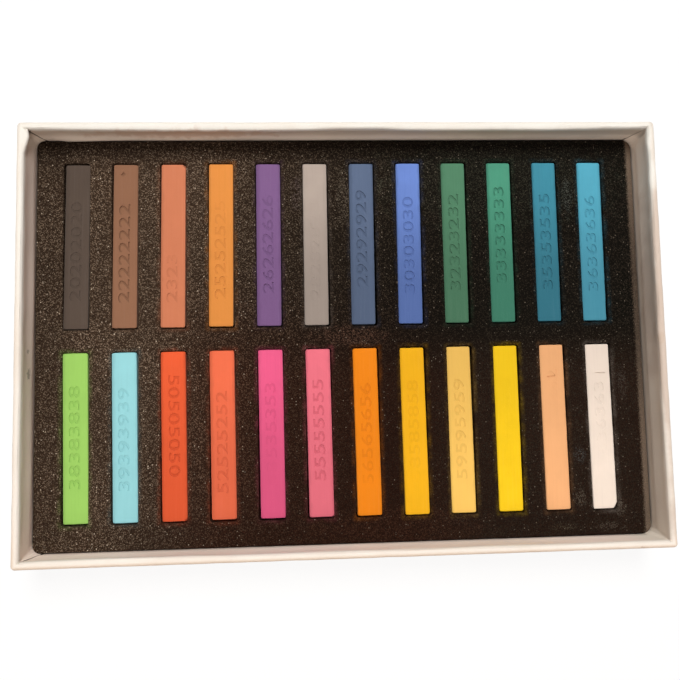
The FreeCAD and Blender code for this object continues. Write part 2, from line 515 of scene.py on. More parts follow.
# How far, in mm, the rim's lip leans over each inner wall and the wall's foot stands off its
# board. Places run along the wall, from its left or front end at -1 to the other at 1.
rear_lip = (
    (-1, 0.2), (-0.92, 0.3), (-0.8, 0.5), (-0.66, 0.6), (-0.5, 0.8), (-0.36, 0.75), (-0.28, 0.8),
    (-0.12, 0.65), (-0.03, 0.35), (0.1, 0.25), (0.2, 0.65), (0.34, 0.75), (0.5, 0.7), (0.67, 0.75),
    (0.77, 0.5), (0.86, 0.25), (1, 0.1),
)
rear_foot = (
    (-1, 0.15), (-0.94, 0.2), (-0.87, 1.1), (-0.68, 0.65), (-0.49, 0.65), (-0.31, 0.4),
    (-0.12, 0.7), (0.06, 0.55), (0.25, 0.45), (0.43, 0.4), (0.61, 0.2), (0.8, 0.05), (0.94, 0.05),
    (1, 0.1),
)
front_lip = (
    (-1, 0.1), (-0.9, 0.4), (-0.7, 0.5), (-0.5, 0.4), (-0.3, 0.15), (0.0, 0.25), (0.2, 0.05),
    (0.45, 0.2), (0.7, 0.05), (0.9, 0.2), (1, 0.1),
)
front_foot = (
    (-1, 0.15), (-0.94, 0.15), (-0.8, 0.3), (-0.4, 0.15), (0.0, 0.35), (0.4, 0.2), (0.7, 0.4),
    (0.94, 0.15), (1, 0.15),
)
left_lip = (
    (-1, 0.1), (-0.8, 0.2), (-0.5, 0.1), (-0.1, 0.2), (0.3, 0.1), (0.6, 0.15), (0.85, 0.1),
    (0.94, 1.8), (0.965, 1.4), (1, 0.2),
)
left_foot = (
    (-1, 0.0), (-0.86, 0.1), (-0.6, 0.4), (-0.2, 0.25), (0.2, 0.5), (0.6, 0.3), (0.86, 0.15),
    (1, 0.0),
)
right_lip = (
    (-1, 0.1), (-0.75, 0.15), (-0.4, 0.25), (-0.08, 0.1), (0.0, 0.4), (0.08, 0.15), (0.4, 0.2),
    (0.66, 0.1), (0.72, 0.35), (0.78, 0.1), (0.85, 0.15), (0.9, 0.5), (0.94, 0.2), (1, 0.1),
)
right_foot = (
    (-1, 0.0), (-0.86, 0.1), (-0.5, 0.2), (0.0, 0.25), (0.5, 0.2), (0.86, 0.1), (1, 0.0),
)
# Both run up the wall, from the foam's top at 0 to the rim at 1.
lip_rise = ((0.68, 0.0), (0.9, 1.0), (1.01, 1.0))
foot_rise = ((-0.01, 0.2), (0.07, 0.9), (0.14, 1.0), (0.56, 0.0), (1, 0.0))
lip_width = ((-2.5, 1.0), (rim_round * 0.4, 1.0), (wall * 0.62, 0.0), (wall + 1, 0.0))
most_slack = 2.0


def loosen(axis, side, lip, foot):
    """Let the paper of one inner wall and half its rim stand off the boards."""
    inner = (inner_x, inner_y)[axis]
    reach = (half_width, half_length)[axis]
    group = wrap.vertex_groups.new(name="slack")
    for vertex in wrap.data.vertices:
        depth = side * vertex.co[axis] - inner
        along = vertex.co[1 - axis]
        if abs(along) > (inner_y, inner_x)[axis] + 0.1:
            continue
        if axis and vertex.co.z < head_z and abs(along) > slit_x(vertex.co.z):
            continue
        up = (vertex.co.z - foam_z) / (rim_z - foam_z)
        off = eased(lip, along / reach) * eased(lip_rise, up) * eased(lip_width, depth)
        if abs(depth) < 0.1:
            off = max(off, eased(foot, along / reach) * eased(foot_rise, up))
        if off > 0:
            group.add([vertex.index], min(off / most_slack, 1.0), "REPLACE")
    apply_modifier(
        wrap,
        "DISPLACE",
        direction="XY"[axis],
        strength=-side * most_slack,
        mid_level=0.0,
        vertex_group=group.name,
    )
    wrap.vertex_groups.clear()


loosen(1, 1, rear_lip, rear_foot)
loosen(1, -1, front_lip, front_foot)
loosen(0, -1, left_lip, left_foot)
loosen(0, 1, right_lip, right_foot)

# Fine waves of the glued paper, always away from the boards.
waves = wrap.vertex_groups.new(name="waves")
for vertex in wrap.data.vertices:
    inside = abs(vertex.co.x) < inner_x + 0.3 and abs(vertex.co.y) < inner_y + 0.3
    if foam_z + 1 < vertex.co.z < rim_z - 1.5 if inside else vertex.co.z > wrap_low[2] + 1:
        waves.add([vertex.index], 1.0, "REPLACE")
billow = bpy.data.textures.new("billow", "CLOUDS")
billow.noise_scale = 9
billow.noise_depth = 1
apply_modifier(
    wrap,
    "DISPLACE",
    texture=billow,
    texture_coords="LOCAL",
    strength=0.28,
    mid_level=0.0,
    vertex_group="waves",
)

tab_proud = 0.14
tab_steps = 4


def gusset(x_side, y_side):
    """Tab of the side flap folded across one inner corner, pointed at the rim."""
    radius = tab_reach - tab_proud
    corner = Vector((x_side * (inner_x - tab_proud), y_side * (inner_y - tab_proud), 0))
    centre = Vector((corner.x - x_side * radius, corner.y - y_side * radius, floor_z + 0.2))
    bpy.ops.mesh.primitive_circle_add(vertices=16, radius=radius, location=centre)
    tab = bpy.context.object
    bpy.ops.object.transform_apply(location=True)
    switch_to("EDIT")
    pick(
        tab,
        "verts",
        lambda v: (v.co.x - centre.x) * x_side < -0.01 or (v.co.y - centre.y) * y_side < -0.01,
    )
    bpy.ops.mesh.delete(type="VERT")
    # The fold is pressed back round the foam's corner.
    for turn, press in ((45, 0.15), (22.5, 0.06), (67.5, 0.06)):
        turn = math.radians(turn)
        fold = centre + Vector((math.cos(turn) * x_side, math.sin(turn) * y_side, 0)) * radius
        pick(tab, "verts", lambda v: (v.co - fold).length < 0.3)
        bpy.ops.transform.translate(value=(x_side * press, y_side * press, 0))
    bpy.ops.mesh.select_all(action="SELECT")
    extrude_up(foam_z - centre.z)
    rise = (rim_z - 1.3 - foam_z) / tab_steps
    for left in range(tab_steps, 0, -1):
        shrink = (left - 1) / left if left > 1 else 0.08
        extrude_up(rise)
        bpy.ops.transform.resize(value=(shrink, shrink, 1), center_override=corner)
    pick(tab, "edges", lambda e: height_of(e) > 0.5)
    bpy.ops.mesh.mark_sharp()
    bpy.ops.mesh.select_all(action="SELECT")
    bpy.ops.mesh.normals_make_consistent(inside=False)
    shape = bmesh.from_edit_mesh(tab.data)
    shape.faces.ensure_lookup_table()
    if shape.faces[0].normal.x * x_side > 0:
        bpy.ops.mesh.flip_normals()
    switch_to("OBJECT")
    return tab


join([wrap] + [gusset(x_side, y_side) for x_side in (-1, 1) for y_side in (-1, 1)])
apply_modifier(wrap, "SOLIDIFY", thickness=paper_thick, offset=-1)
only(wrap)
bpy.ops.object.shade_smooth_by_angle(angle=math.radians(40))
to_metres(wrap)


def minus(tree, first, second):
    return maths(tree, "SUBTRACT", first, second)


def ramp_mm(tree, place, low, high, smooth=True):
    """A ramp over places, with low and high in mm."""
    return ramp(tree, place, low * MM, high * MM, smooth)


def worn_spot():
    """Broken patch round one place, 1 at its heart: dirt, dust or painted shade."""
    given = {"Vector": "Vector", "Centre": "Vector", "Size": "Vector", "Grain": "Float"}
    tree, given, made = new_group("worn_spot", given, ("Mask",))
    away = given["Vector"]
    for operation, other in (("SUBTRACT", "Centre"), ("DIVIDE", "Size")):
        away = add(
            tree, "ShaderNodeVectorMath", {0: away, 1: given[other]}, operation=operation
        ).outputs[0]
    reach = add(tree, "ShaderNodeVectorMath", {0: away}, operation="LENGTH").outputs["Value"]
    ragged = noise(tree, given["Vector"], given["Grain"], detail=4.0)
    edge = plus(tree, reach, times(tree, minus(tree, ragged, 0.5), 1.6))
    tree.links.new(ramp(tree, edge, 1.0, 0.45), made["Mask"])
    return tree


spot = worn_spot()


def spot_mask(tree, place, centre, size, grain):
    """A ragged patch, its centre and size in mm."""
    centre, size = ([v * MM for v in vector] for vector in (centre, size))
    inputs = {"Vector": place, "Centre": centre, "Size": size, "Grain": grain}
    return add(tree, "ShaderNodeGroup", inputs, node_tree=spot).outputs["Mask"]


wrap_paper, tree, shader, place, colour = paper(
    "wrap_paper", tone(238, 234, 229), tone(232, 226, 219), roughness=0.72, relief=0.35
)
x, y, z = split(tree, place)
off_middle_x = maths(tree, "ABSOLUTE", x)
off_middle_y = maths(tree, "ABSOLUTE", y)
# It has yellowed more toward the front.
toward_rear = ramp_mm(tree, y, -inner_y, inner_y, smooth=False)
cast = blend(tree, toward_rear, tone(255, 251, 247), tone(250, 253, 253))
colour = blend(tree, 1.0, colour, cast, kind="MULTIPLY")
beyond = maths(
    tree,
    "MAXIMUM",
    minus(tree, off_middle_x, inner_x * MM),
    minus(tree, off_middle_y, inner_y * MM),
)
# Inside the tray the walls are painted a warm shade: darker toward the front of the right wall
# and toward the rear of the left wall, and paler on the rear wall.
inside_tray = times(
    tree, ramp_mm(tree, beyond, 0.8, 0.4), ramp_mm(tree, z, rim_z - 0.6, rim_z - 2.6)
)
to_rear = ramp_mm(tree, y, -10, 50)
wall_shade_tone = blend(
    tree,
    ramp_mm(tree, x, 105, 117),
    blend(tree, to_rear, tone(255, 234, 221), tone(246, 225, 213)),
    blend(tree, to_rear, tone(236, 225, 211), tone(250, 239, 226)),
)
on_rear_wall = ramp_mm(tree, y, inner_y - 8, inner_y - 2)
wall_shade_tone = blend(tree, on_rear_wall, wall_shade_tone, tone(255, 242, 227))
colour = blend(tree, times(tree, inside_tray, 0.85), colour, wall_shade_tone)
# The rim's outer edge is a little soiled from handling.
soiled = times(
    tree,
    ramp_mm(tree, beyond, wall - 1.5, wall - 0.3),
    ramp_mm(tree, z, rim_z - 2.5, rim_z - 0.9),
)
soil = blend(tree, ramp_mm(tree, y, -60, -78), tone(247, 243, 240), tone(244, 233, 223))
colour = blend(tree, soiled, colour, soil, kind="MULTIPLY")
# A thin painted shadow darkens the slits at the corners, less at the right.
share = ramp_mm(tree, z, foam_z, head_z, smooth=False)
line_x = maths(tree, "MULTIPLY_ADD", share, (slit_head - slit_foot) * MM, slit_foot * MM)
off_line = maths(tree, "ABSOLUTE", minus(tree, off_middle_x, line_x))
slit_shadow_side = maths(
    tree, "MAXIMUM", ramp_mm(tree, x, 120, -10), times(tree, ramp_mm(tree, y, 0, 20), 0.5)
)
drawn = times(
    tree,
    ramp_mm(tree, off_line, 0.52, 0.24),
    ramp_mm(tree, off_middle_y, inner_y - 1.2, inner_y - 0.9),
    times(tree, inside_tray, slit_shadow_side),
)
colour = blend(tree, drawn, colour, tone(84, 70, 60))
# Painted shade darkens the rear wall below its lip.
rear_lip_shade = times(
    tree,
    ramp_mm(tree, z, foam_z + 3.2, foam_z + 6.6),
    ramp_mm(tree, z, rim_z - 0.6, rim_z - 2.2),
    ramp_mm(tree, y, inner_y - 2.0, inner_y - 1.4),
)
colour = blend(tree, times(tree, rear_lip_shade, inside_tray), colour, tone(222, 218, 214), kind="MULTIPLY")
handling = noise(tree, place, 22.0, detail=5.0, roughness=0.6)
handled = times(tree, ramp(tree, handling, 0.5, 0.78), 0.4)
colour = blend(tree, handled, colour, tone(220, 203, 187))
for centre, size, grain, strength, dirt_and_shade in (
    # The first two darken the rear wall below its lip: a brown stain and painted shade.
    ((-62, 79.3, 22.6), (44, 3.0, 5.0), 260.0, 0.35, tone(186, 144, 112)),
    ((82, 79.3, 22.0), (60, 3.0, 6.0), 90.0, 0.28, tone(180, 170, 160)),
    # The next two are painted shade on the right rim and on the right wall.
    ((121.6, 5, 27), (2.6, 95, 2), 60.0, 0.95, tone(204, 188, 176)),
    ((119.5, 14, 22), (3.0, 42, 9), 50.0, 0.62, tone(202, 184, 171)),
    ((-119.6, -12, 20), (1.5, 2.6, 1.6), 900.0, 0.6, tone(110, 100, 88)),
    ((-119.6, -3.6, 20.6), (1.5, 1.2, 1.2), 900.0, 0.5, tone(120, 108, 98)),
    ((120.6, -3, 26.5), (1.6, 3.5, 1.4), 500.0, 0.35, tone(196, 172, 152)),
    ((109, -82, 26.2), (2.4, 1.2, 1.6), 900.0, 0.4, tone(170, 140, 126)),
):
    mask = times(tree, spot_mask(tree, place, centre, size, grain), strength)
    colour = blend(tree, mask, colour, dirt_and_shade)
tree.links.new(colour, shader.inputs["Base Color"])
coat(wrap, wrap_paper)
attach(wrap, "tray")
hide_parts("outer_wrap")


# Foam underlay and die-cut insert
#
# Two sheets of dark brown-black foam. The lower one is plain. The upper one is stamped with
# two rows of slots, and its right-hand side is cut on a slant. Its fine open cells hold lint
# and painted glints, and it is painted lighter toward the rear left and darker in the walls'
# painted shadow. Coloured dust of the sticks lies round the slots.

stick_boxes = {name: in_mm(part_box(name)) for name in nodes if name.startswith("pastel_")}


def rounded_block(name, low, high, corner, segments):
    """A box with rounded upright corners, in edit mode."""
    piece = block(name, low, high)
    pick(piece, "edges", lambda e: height_of(e) > 1)
    round_edges(corner, segments)
    return piece


def carve(piece, cutter):
    apply_modifier(piece, "BOOLEAN", object=cutter, operation="DIFFERENCE", solver="EXACT")
    bpy.data.objects.remove(cutter)


underlay_low, underlay_high = in_mm(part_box("foam_underlay"))
underlay = rounded_block(
    "foam_bottom_sheet", underlay_low, underlay_high, corner=4.0, segments=8
)
pick(underlay, "edges", lambda e: height_of(e) < 0.01)
round_edges(0.3, segments=2)
switch_to("OBJECT")
to_metres(underlay)

foam_corner = 3.0
slant_run = 3.5
slant_foot = 0.4
slant_drop = 1.8
insert = rounded_block("foam_cut_sheet", insert_low, insert_high, foam_corner, segments=10)
cut_all(insert, (0, 0, foam_z - slant_drop), (0, 0, 1))
right_end = insert_high[0] - foam_corner - 0.01
for upper, run in ((True, slant_run), (False, slant_foot)):
    pick(
        insert,
        "verts",
        lambda v: v.co.x > right_end and (v.co.z > foam_z - 0.01) == upper,
    )
    bpy.ops.transform.translate(value=(-run, 0, 0))
# Its upper corners are cut tighter.
for y_end in (insert_low[1], insert_high[1]):
    pick(
        insert,
        "verts",
        lambda v: v.co.z > foam_z - 0.01
        and v.co.x > right_end - slant_run
        and abs(v.co.y - y_end) < foam_corner + 0.01,
    )
    bpy.ops.transform.resize(
        value=(0.5, 0.5, 1), center_override=(insert_high[0] - slant_run, y_end, foam_z)
    )
pick(
    insert,
    "edges",
    lambda e: len(e.link_faces) == 2
    and any(f.normal.z > 0.99 for f in e.link_faces)
    and any(f.normal.z < 0.5 for f in e.link_faces),
)
round_edges(0.7, segments=5)
switch_to("OBJECT")

# The columns and rows of slots follow the sticks' own grid.
columns = 12
column_pitch = 18.65
row_pitch = 74.4
slot_width = 10.2
slot_length = 65.8
slot_roll = 0.45
centres = {name: [(a + b) / 2 for a, b in zip(*box)] for name, box in stick_boxes.items()}
from_rear = sorted(centres, key=lambda n: -centres[n][1])
row_names = [
    sorted(row, key=lambda n: centres[n][0])
    for row in (from_rear[:columns], from_rear[columns:])
]
first_x, first_y = centres[row_names[0][0]][:2]

knives = []
for row in range(2):
    for column in range(columns):
        x = first_x + column * column_pitch
        y = first_y - row * row_pitch
        knife = rounded_block(
            "knife",
            (x - slot_width / 2, y - slot_length / 2, insert_low[2] - 1),
            (x + slot_width / 2, y + slot_length / 2, foam_z - slot_roll),
            corner=1.0,
            segments=4,
        )
        # Near the foam's top the knife widens in steps, which rolls the slot's edge.
        for spread, lift in ((0.06, 0.2), (0.16, 0.15), (0.4, 0.101), (0.0, 1.0)):
            pick(knife, "faces", lambda f: f.normal.z > 0.99)
            extrude_up(lift)
            bpy.ops.transform.resize(
                value=(
                    (slot_width + 2 * spread) / slot_width,
                    (slot_length + 2 * spread) / slot_length,
                    1,
                ),
                center_override=(x, y, 0),
            )
        switch_to("OBJECT")
        knives.append(knife)
carve(insert, join(knives))
to_metres(insert)

# The pigments of the sticks, rear row then front row, from left to right.
pigments = (
    (
        ("charcoal", (79, 67, 59)), ("brown", (134, 95, 72)), ("terracotta", (195, 118, 85)),
        ("orange", (211, 135, 63)), ("purple", (116, 85, 130)), ("warm_grey", (157, 145, 137)),
        ("slate_blue", (80, 95, 122)), ("cobalt", (88, 114, 177)), ("sage_green", (69, 114, 88)),
        ("emerald", (61, 126, 104)), ("deep_teal", (50, 117, 137)), ("sky_blue", (71, 146, 170)),
    ),
    (
        ("lime_green", (149, 198, 97)), ("aqua", (143, 204, 212)), ("vermilion", (215, 86, 47)),
        ("coral", (219, 102, 69)), ("magenta_pink", (213, 84, 127)),
        ("rose_pink", (217, 106, 123)), ("bright_orange", (225, 127, 14)),
        ("golden_yellow", (228, 169, 20)), ("ochre", (227, 183, 92)),
        ("lemon_yellow", (230, 190, 21)), ("peach", (226, 167, 117)), ("white", (226, 212, 200)),
    ),
)
# How much of its dust each stick has shed round its slot, in the same order.
shed_dust = (
    (0.1, 0.15, 0.2, 0.25, 0.16, 0.16, 0.14, 0.12, 0.12, 0.1, 0.1, 0.16),
    (0.2, 0.1, 0.2, 0.2, 0.14, 0.16, 0.16, 0.16, 0.16, 0.18, 0.14, 0.12),
)


def by_column(tree, share, colours):
    """A colour that steps from column to column."""
    node = add(tree, "ShaderNodeValToRGB", {"Fac": share})
    node.color_ramp.interpolation = "CONSTANT"
    steps = node.color_ramp.elements
    for column, colour in enumerate(colours):
        at = column / len(colours)
        step = steps[column] if column < 2 else steps.new(at)
        step.position = at
        step.color = colour
    return node.outputs["Color"]


foam, tree, shader, place = new_material("foam", roughness=0.9, gloss=0.04)
x, y, _ = split(tree, place)

# Painted light: the foam is painted lighter toward the rear left, as a sheen of its cells.
painted_light = minus(tree, x, times(tree, y, 0.35))
painted_light = maths(tree, "POWER", ramp_mm(tree, painted_light, 44, -75, smooth=False), 2.3)
# Painted shadow of the left and rear walls takes some of that light back beside them.
for beside_wall, share in (
    (ramp_mm(tree, x, -118, -98), 0.26),
    (ramp_mm(tree, y, 78, 64), 0.5),
):
    wall_shadow = times(tree, minus(tree, 1.0, beside_wall), share)
    painted_light = times(tree, painted_light, minus(tree, 1.0, wall_shadow))
painted_light = times(tree, painted_light, 0.95)


def cells_of(tree, place, scale):
    """Open cells: how far a point is from its cell's heart, and the cell's own chance."""
    cell = add(
        tree, "ShaderNodeTexVoronoi", {"Vector": place, "Scale": scale, "Randomness": 1.0}
    )
    chance = add(tree, "ShaderNodeSeparateColor", {0: cell.outputs["Color"]})
    return cell.outputs["Distance"], chance.outputs[0]


depth, chance = cells_of(tree, place, 3200.0)
browned = ramp_mm(tree, y, 8, -22)
unlit = blend(tree, browned, tone(19, 16, 12), tone(48, 32, 23))
colour = blend(tree, painted_light, unlit, tone(74, 57, 44))
unlit_dark = blend(tree, browned, tone(12, 10, 7), tone(26, 17, 12))
dark = blend(tree, painted_light, unlit_dark, tone(44, 33, 25))
open_cell = blend(tree, painted_light, tone(46, 40, 33), tone(130, 112, 95))
colour = blend(tree, ramp(tree, depth, 0.2, 0.6), colour, dark)
colour = blend(tree, ramp(tree, chance, 0.66, 0.98), colour, open_cell)
cloud = noise(tree, place, 48.0, detail=4.0)
colour = blend(tree, times(tree, ramp(tree, cloud, 0.35, 0.7), 0.25), colour, dark)

# Red and orange dust is trodden into the middle, toward the front.
reddened = times(
    tree,
    ramp_mm(tree, x, -82, -45),
    ramp_mm(tree, x, 62, 15),
    ramp_mm(tree, y, 35, -20),
)
colour = blend(tree, reddened, colour, tone(255, 224, 216), kind="MULTIPLY")


def facing(tree, axis):
    """How far the surface faces along an axis, 1 for straight along it."""
    return split(tree, add(tree, "ShaderNodeNewGeometry").outputs["Normal"])[axis]


# The slanted side is a bare cut, paler and brown, partly as painted light from the pale wall.
slant_x = insert_high[0] - slant_run
ragged = times(tree, chance, 0.7 * MM)
bare = times(
    tree,
    ramp_mm(tree, plus(tree, x, ragged), slant_x - 0.4, slant_x + 1.5),
    ramp(tree, facing(tree, "X"), 0.95, 0.8),
)
# Painted shade darkens it toward the middle of its length.
aside = maths(tree, "ABSOLUTE", minus(tree, y, 12 * MM))
slant_tone = blend(tree, ramp_mm(tree, aside, 8, 60), tone(66, 56, 48), tone(104, 90, 78))
# Painted glints of its cut cells.
slant_glint = times(tree, ramp(tree, chance, 0.4, 1.0), 0.25)
slant_tone = blend(tree, slant_glint, slant_tone, tone(150, 128, 108))
colour = blend(tree, bare, colour, slant_tone)

# Dust: each point finds the slot that it is nearest to, and how far off that slot is.
row_start = (first_x - column_pitch / 2) * MM
row_length = columns * column_pitch * MM
share = maths(tree, "DIVIDE", minus(tree, x, row_start), row_length, clamp=True)
in_column = minus(tree, maths(tree, "FRACT", times(tree, share, columns)), 0.5)
in_rear = maths(tree, "GREATER_THAN", y, (first_y - row_pitch / 2) * MM)
row_y = maths(tree, "MULTIPLY_ADD", in_rear, row_pitch * MM, (first_y - row_pitch) * MM)


def outside(tree, away, half):
    """How far a place is beyond half a slot's width or length."""
    return maths(tree, "MAXIMUM", minus(tree, maths(tree, "ABSOLUTE", away), half * MM), 0.0)


off_x = outside(tree, times(tree, in_column, column_pitch * MM), slot_width / 2)
off_y = outside(tree, minus(tree, y, row_y), slot_length / 2)
off = maths(tree, "SQRT", plus(tree, times(tree, off_x, off_x), times(tree, off_y, off_y)))
rear_dust, front_dust = (
    by_column(tree, share, [tone(*pigment) for _, pigment in row]) for row in pigments
)
dust_colour = blend(tree, in_rear, front_dust, rear_dust)
rear_share, front_share = (
    by_column(tree, share, [(v, v, v, 1) for v in row]) for row in shed_dust
)
dust_share = blend(tree, in_rear, front_share, rear_share)
dust_amount = add(tree, "ShaderNodeSeparateColor", {0: dust_share}).outputs[0]
wisps = noise(tree, place, 130.0, detail=6.0, roughness=0.75)
dust = times(
    tree,
    ramp_mm(tree, off, 2.0, 0.0),
    ramp(tree, wisps, 0.38, 0.72),
    times(tree, dust_amount, ramp(tree, chance, -0.4, 1.0)),
)
colour = blend(tree, dust, colour, dust_colour)

# Loose smudges of dust: place, reach, how thick, colour.
for at, reach, strength, dust_tone in (
    ((91.5, -48.5), (3.0, 4.2), 0.12, tone(140, 146, 146)),
    ((15.0, 61.0), (2.0, 5.0), 0.16, tone(130, 130, 112)),
    ((91.0, -64.0), (2.6, 5.0), 0.08, tone(200, 186, 166)),
    ((107.0, -69.0), (2.6, 4.0), 0.07, tone(210, 196, 176)),
    ((102.0, -76.0), (7.0, 2.0), 0.07, tone(206, 190, 170)),
    ((84.5, -76.0), (6.0, 2.0), 0.05, tone(186, 170, 140)),
    ((91.0, 56.0), (2.6, 9.0), 0.14, tone(130, 140, 135)),
    ((0.0, 55.0), (3.2, 13.0), 0.16, tone(150, 138, 122)),
    ((-18.5, 58.0), (2.6, 9.0), 0.1, tone(150, 132, 140)),
    ((110.0, -20.0), (2.6, 9.0), 0.04, tone(200, 190, 180)),
    ((62.0, 62.0), (70.0, 22.0), 0.05, tone(120, 132, 112)),
    ((18.0, -74.0), (42.0, 10.0), 0.07, tone(150, 96, 70)),
    ((2.0, 0.5), (16.0, 5.0), 0.12, tone(170, 124, 104)),
):
    mask = spot_mask(tree, place, (*at, foam_z), (*reach, 3.0), 420.0)
    dusted = times(tree, mask, times(tree, ramp(tree, chance, 0.3, 1.0), strength))
    colour = blend(tree, dusted, colour, dust_tone)

# Lint specks and painted glints of the cells, stronger where the foam is painted lighter.
heart, glint_chance = cells_of(tree, place, 1250.0)
glint = times(
    tree,
    ramp(tree, glint_chance, 0.86, 1.0),
    ramp(tree, heart, 0.34, 0.1),
    maths(tree, "MULTIPLY_ADD", painted_light, 0.75, 0.22),
)
colour = blend(tree, glint, colour, tone(236, 218, 196))
tree.links.new(colour, shader.inputs["Base Color"])
emboss(tree, shader, depth, 0.8, 0.2)

for piece, node in ((underlay, "foam_underlay"), (insert, "foam_insert")):
    coat(piece, foam)
    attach(piece, "insert")
    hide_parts(node)


# Sticks of pastel
#
# Square bars of pressed pigment and chalk, cast in a mould that leaves faint lengthwise
# drag lines and a soft facet along the edges. Plain numbers are pressed into the top face,
# deep on one bar and almost gone on the next, and the brittle corners are chipped.

def chalk_grain():
    """Cloudy pigment, fine drag lines along the bar and powdery height."""
    looks = ("Cloud", "Drag", "Powder", "Height")
    tree, given, made = new_group("chalk_grain", {"Vector": "Vector"}, looks)
    place = given["Vector"]
    along_bar = {"Vector": place, "Scale": (1.0, 0.035, 1.0)}
    stretched = add(tree, "ShaderNodeMapping", along_bar).outputs["Vector"]
    cloud = noise(tree, place, 120.0, detail=5.0)
    drag = noise(tree, stretched, 1500.0, detail=3.0)
    powder = noise(tree, place, 3200.0, detail=3.0, roughness=0.7)
    height = plus(tree, times(tree, drag, 0.9), times(tree, powder, 0.5))
    for look, value in zip(looks, (cloud, drag, powder, height)):
        tree.links.new(value, made[look])
    return tree


grain = chalk_grain()
bar_length = 65.0
bar_side = 9.6
bar_cuts = 44
top_z = stick_boxes["pastel_white"][1][2]


def chalk(name, pigment, middle_y, painted_front_light, recess_shade):
    """Pressed pigment, whose front end is as bright as painted_front_light of its rear end."""
    material, tree, shader, place = new_material(f"chalk_{name}", roughness=0.88, gloss=0.2)
    shader.inputs["Sheen Weight"].default_value = 0.05
    look = add(tree, "ShaderNodeGroup", {"Vector": place}, node_tree=grain).outputs
    _, along, height = split(tree, place)
    base = tone(*pigment)[:3]
    # Painted light: the bar is made darker or lighter from its rear end to its front end.
    spread = painted_front_light ** 0.5
    rear_end = (*(min(v / spread, 0.93) for v in base), 1)
    front_end = (*(min(v * spread, 0.93) for v in base), 1)
    deep = (*(v * 0.72 for v in base), 1)
    pale = (*(v + (0.9 - v) * 0.08 for v in base), 1)
    to_front = ramp_mm(
        tree, along, middle_y + bar_length * 0.45, middle_y - bar_length * 0.3
    )
    colour = blend(tree, to_front, rear_end, front_end)
    for part, low, high, strength, shade in (
        ("Cloud", 0.35, 0.65, 0.12, deep),
        ("Drag", 0.5, 0.75, 0.1, pale),
        ("Drag", 0.5, 0.3, 0.08, deep),
        ("Powder", 0.55, 0.8, 0.2, pale),
    ):
        mask = times(tree, ramp(tree, look[part], low, high), strength)
        colour = blend(tree, mask, colour, shade)
    # Painted shade darkens the floors of the pressed figures, more on the deeper ones.
    pressed = times(
        tree,
        ramp_mm(tree, height, top_z - 0.06, top_z - 0.14),
        ramp(tree, facing(tree, "Z"), 0.9, 0.97),
        recess_shade,
    )
    colour = blend(tree, pressed, colour, deep)
    tree.links.new(colour, shader.inputs["Base Color"])
    emboss(tree, shader, look["Height"], 0.35, 0.05)
    return material


# One bar lies at the origin, and each stick is a copy of it.
bar = rounded_block(
    "bar",
    (-bar_side / 2, -bar_length / 2, top_z - bar_side),
    (bar_side / 2, bar_length / 2, top_z),
    corner=0.7,
    segments=4,
)
pick(bar, "edges", lambda e: height_of(e) < 0.01)
round_edges(0.4, segments=3)
for step in range(1, bar_cuts):
    cut_all(bar, (0, -bar_length / 2 + step * bar_length / bar_cuts, 0), (0, 1, 0))
for x in (-3.6, -2.2, -1, 0, 1, 2.2, 3.6):
    cut_all(bar, (x, 0, 0), (1, 0, 0))
for drop in (2.4, 4.8, 7.2):
    cut_all(bar, (0, 0, top_z - drop), (0, 0, 1))
switch_to("OBJECT")
unevenness = bpy.data.textures.new("unevenness", "CLOUDS")
unevenness.noise_scale = 3.0
unevenness.noise_depth = 2

# For each stick: its turn in the slot in degrees, the depth of its number at the front and
# rear ends of that number, how far the number is moved to the rear, whether it reads
# downwards, the facets at the left and right, and how bright its front end is for its rear.
# The last number of each is painted light along the bar.
stick_ways = {
    "charcoal": (-0.58, 0.22, 0.16, -2, False, 0.22, 0.0, 1.06),
    "brown": (-0.53, 0.42, 0.42, -3, False, 0.06, 0.05, 1.08),
    "terracotta": (-0.53, 0.28, -0.12, -3, False, 0.14, 0.0, 1.0),
    "orange": (-0.48, 0.3, 0.08, -2, False, 0.14, 0.0, 0.96),
    "purple": (-0.26, 0.4, 0.1, 0, False, 0.22, 0.12, 0.89),
    "warm_grey": (-0.21, 0.14, 0.06, -3, False, 0.1, 0.22, 0.68),
    "slate_blue": (-0.37, 0.36, 0.36, 2, False, 0.2, 0.12, 0.76),
    "cobalt": (-0.37, 0.42, 0.22, -1, False, 0.12, 0.12, 0.56),
    "sage_green": (-0.21, 0.34, 0.34, 0, False, 0.14, 0.06, 0.7),
    "emerald": (-0.11, 0.4, 0.4, 3, False, 0.14, 0.06, 0.58),
    "deep_teal": (-0.11, 0.38, 0.26, 0, False, 0.12, 0.12, 0.58),
    "sky_blue": (-0.26, 0.34, 0.24, -1, False, 0.12, 0.12, 0.64),
    "lime_green": (0.69, 0.28, 0.28, 0, False, 0.16, 0.06, 1.0),
    "aqua": (0.63, 0.26, 0.22, -1, False, 0.2, 0.1, 0.94),
    "vermilion": (0.53, 0.42, 0.3, 4, True, 0.14, 0.12, 0.84),
    "coral": (0.48, 0.36, 0.24, -3, False, 0.2, 0.12, 0.82),
    "magenta_pink": (0.32, 0.06, 0.24, 0, False, 0.14, 0.06, 0.78),
    "rose_pink": (0.48, 0.42, 0.36, 1, False, 0.12, 0.12, 0.86),
    "bright_orange": (0.58, 0.1, 0.3, -1, False, 0.1, 0.1, 1.0),
    "golden_yellow": (0.58, 0.08, 0.2, 0, False, 0.12, 0.06, 1.08),
    "ochre": (0.37, 0.16, 0.26, 0, False, 0.1, 0.1, 1.24),
    "lemon_yellow": (0.21, 0.05, 0.05, 0, False, 0.1, 0.06, 1.16),
    "peach": (0.37, -0.2, 0.12, 3, False, 0.1, 0.1, 1.14),
    "white": (0.42, 0.02, 0.16, -2, False, 0.08, 0.08, 1.17),
}
